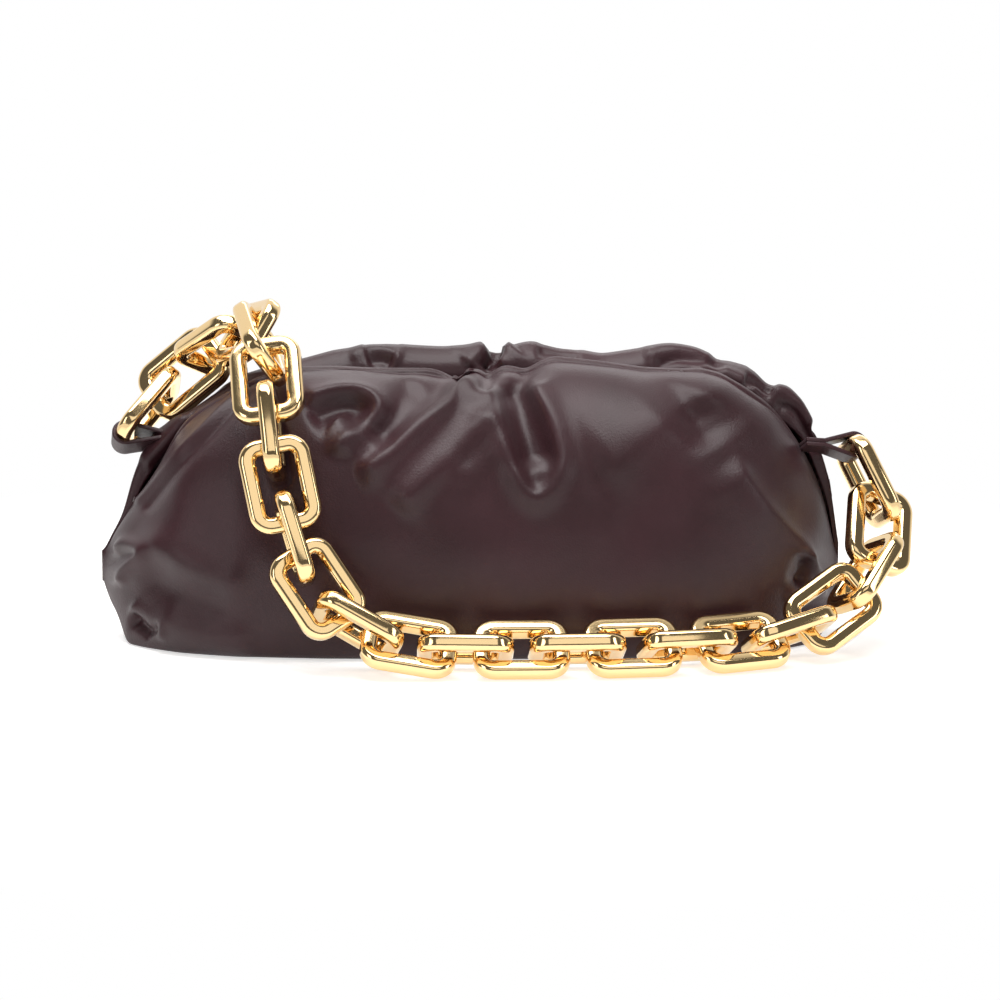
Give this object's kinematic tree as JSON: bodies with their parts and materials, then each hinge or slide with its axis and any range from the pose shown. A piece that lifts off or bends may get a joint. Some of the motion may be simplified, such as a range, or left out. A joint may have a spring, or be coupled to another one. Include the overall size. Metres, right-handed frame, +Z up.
{
  "type": "chain shoulder bag",
  "caption": "Slouchy gathered leather shoulder bag with a hinged magnetic mouth frame hidden under its rim and a heavy gold chain strap that drapes over one shoulder to the floor.",
  "frame": {"origin": "middle of the base on the floor", "axes": "+Z up, +X along the width of the bag to the right of someone looking at its front, -Y towards that viewer"},
  "size_m": [0.3402, 0.1477, 0.1448],
  "materials": {
    "plum_leather": "satin, soft fine grain",
    "lining_cloth": "matt woven lining",
    "stiff_board": "plain board",
    "frame_steel": "nickel plated",
    "gold_plate": "polished pale gold plate"
  },
  "bodies": {
    "pouch": {"front_panel": "plum_leather", "back_panel": "plum_leather", "base_panel": "plum_leather", "lining_front": "lining_cloth", "lining_back": "lining_cloth", "base_board": "stiff_board", "front_rail": "frame_steel", "front_magnets": "frame_steel", "front_hem": "plum_leather", "pin_left": "frame_steel", "pin_right": "frame_steel", "tab_left": "plum_leather", "tab_right": "plum_leather"},
    "back_frame": {"back_rail": "frame_steel", "back_magnets": "frame_steel", "back_hem": "plum_leather", "back_gathers": "plum_leather", "lining_back_top": "lining_cloth"},
    "link_01": {"link_01": "gold_plate"},
    "link_02": {"link_02": "gold_plate"},
    "link_03": {"link_03": "gold_plate"},
    "link_04": {"link_04": "gold_plate"},
    "link_05": {"link_05": "gold_plate"},
    "link_06": {"link_06": "gold_plate"},
    "link_07": {"link_07": "gold_plate"},
    "link_08": {"link_08": "gold_plate"},
    "link_09": {"link_09": "gold_plate"},
    "link_10": {"link_10": "gold_plate"},
    "link_11": {"link_11": "gold_plate"},
    "link_12": {"link_12": "gold_plate"},
    "link_13": {"link_13": "gold_plate"},
    "link_14": {"link_14": "gold_plate"},
    "link_15": {"link_15": "gold_plate"},
    "link_16": {"link_16": "gold_plate"},
    "link_17": {"link_17": "gold_plate"},
    "link_18": {"link_18": "gold_plate"},
    "link_19": {"link_19": "gold_plate"},
    "link_20": {"link_20": "gold_plate"},
    "link_21": {"link_21": "gold_plate"},
    "link_22": {"link_22": "gold_plate"},
    "link_23": {"link_23": "gold_plate"}
  },
  "joints": [
    {"name": "mouth_hinge", "type": "hinge", "parent": "pouch", "child": "back_frame", "pos_m": [0, 0, 0.074], "axis": [-1, 0, 0], "range_deg": [0, 50], "deforming": ["back_gathers", "lining_back_top"]},
    {"name": "link_01_swing", "type": "hinge", "parent": "pouch", "child": "link_01", "pos_m": [-0.14492, 0.00498, 0.08397], "axis": [-0.9919, -0.1058, 0.0708], "range_deg": [0, 45], "deforming": ["tab_left"]},
    {"name": "link_02_swing", "type": "hinge", "parent": "link_01", "child": "link_02", "pos_m": [-0.13306, 0.01916, 0.09843], "axis": [0.5244, -0.5603, -0.6412], "range_deg": [0, 40]},
    {"name": "link_03_swing", "type": "hinge", "parent": "link_02", "child": "link_03", "pos_m": [-0.1117, 0.02032, 0.1162], "axis": [-0.7476, -0.5257, 0.4059], "range_deg": [0, 45]},
    {"name": "link_04_swing", "type": "hinge", "parent": "link_03", "child": "link_04", "pos_m": [-0.0938, 0.00361, 0.12939], "axis": [-0.7476, -0.5257, 0.4059], "range_deg": [0, 60]},
    {"name": "link_05_swing", "type": "hinge", "parent": "link_04", "child": "link_05", "pos_m": [-0.0873, -0.01374, 0.13282], "axis": [-0.4727, -0.3928, -0.7888], "range_deg": [0, 26]},
    {"name": "link_06_swing", "type": "hinge", "parent": "link_05", "child": "link_06", "pos_m": [-0.08363, -0.03129, 0.12701], "axis": [-0.9882, 0.038, -0.1486], "range_deg": [0, 55]},
    {"name": "link_07_swing", "type": "hinge", "parent": "link_06", "child": "link_07", "pos_m": [-0.08069, -0.05165, 0.10223], "axis": [-0.9882, 0.038, -0.1486], "range_deg": [0, 16]},
    {"name": "link_08_swing", "type": "hinge", "parent": "link_07", "child": "link_08", "pos_m": [-0.0795, -0.05641, 0.08993], "axis": [-0.9737, -0.1517, -0.1697], "range_deg": [0, 60]},
    {"name": "link_09_swing", "type": "hinge", "parent": "link_08", "child": "link_09", "pos_m": [-0.07392, -0.06537, 0.06462], "axis": [-0.9737, -0.1517, -0.1697], "range_deg": [0, 34]},
    {"name": "link_10_swing", "type": "hinge", "parent": "link_09", "child": "link_10", "pos_m": [-0.06563, -0.07225, 0.03941], "axis": [-0.0984, 0.9499, -0.2966], "range_deg": [0, 60]},
    {"name": "link_11_swing", "type": "hinge", "parent": "link_10", "child": "link_11", "pos_m": [-0.05179, -0.07609, 0.02165], "axis": [-0.7959, -0.3972, -0.4568], "range_deg": [0, 30]},
    {"name": "link_12_swing", "type": "hinge", "parent": "link_11", "child": "link_12", "pos_m": [-0.03069, -0.0775, 0.01214], "axis": [-0.2025, 0.84, -0.5033], "range_deg": [0, 50]},
    {"name": "link_13_swing", "type": "hinge", "parent": "link_12", "child": "link_13", "pos_m": [-0.01746, -0.07737, 0.01085], "axis": [-0.0269, 0.9036, -0.4275], "range_deg": [0, 19]},
    {"name": "link_14_swing", "type": "hinge", "parent": "link_13", "child": "link_14", "pos_m": [0.01473, -0.07666, 0.01032], "axis": [-0.0269, 0.9036, -0.4275], "range_deg": [0, 15]},
    {"name": "link_15_swing", "type": "hinge", "parent": "link_14", "child": "link_15", "pos_m": [0.03721, -0.07587, 0.0104], "axis": [0.0273, -0.8299, -0.5572], "range_deg": [0, 15]},
    {"name": "link_16_swing", "type": "hinge", "parent": "link_15", "child": "link_16", "pos_m": [0.05966, -0.07429, 0.01043], "axis": [-0.0568, 0.9015, -0.4289], "range_deg": [0, 15]},
    {"name": "link_17_swing", "type": "hinge", "parent": "link_16", "child": "link_17", "pos_m": [0.07721, -0.07209, 0.01052], "axis": [0.103, -0.8224, -0.5594], "range_deg": [0, 20]},
    {"name": "link_18_swing", "type": "hinge", "parent": "link_17", "child": "link_18", "pos_m": [0.09926, -0.06708, 0.01034], "axis": [-0.2012, 0.8689, -0.4522], "range_deg": [0, 20]},
    {"name": "link_19_swing", "type": "hinge", "parent": "link_18", "child": "link_19", "pos_m": [0.11615, -0.06108, 0.00992], "axis": [-0.2749, 0.8366, -0.4738], "range_deg": [0, 30]},
    {"name": "link_20_swing", "type": "hinge", "parent": "link_19", "child": "link_20", "pos_m": [0.1448, -0.04794, 0.01651], "axis": [-0.2749, 0.8366, -0.4738], "range_deg": [0, 60]},
    {"name": "link_21_swing", "type": "hinge", "parent": "link_20", "child": "link_21", "pos_m": [0.15527, -0.04226, 0.02269], "axis": [-0.478, 0.8078, -0.3448], "range_deg": [0, 60]},
    {"name": "link_22_swing", "type": "hinge", "parent": "link_21", "child": "link_22", "pos_m": [0.1713, -0.02382, 0.04367], "axis": [-0.478, 0.8078, -0.3448], "range_deg": [0, 60]},
    {"name": "link_23_swing", "type": "hinge", "parent": "link_22", "child": "link_23", "pos_m": [0.17309, -0.01342, 0.05357], "axis": [-0.2297, 0.891, -0.3916], "range_deg": [0, 60], "deforming": ["tab_right"]}
  ]
}
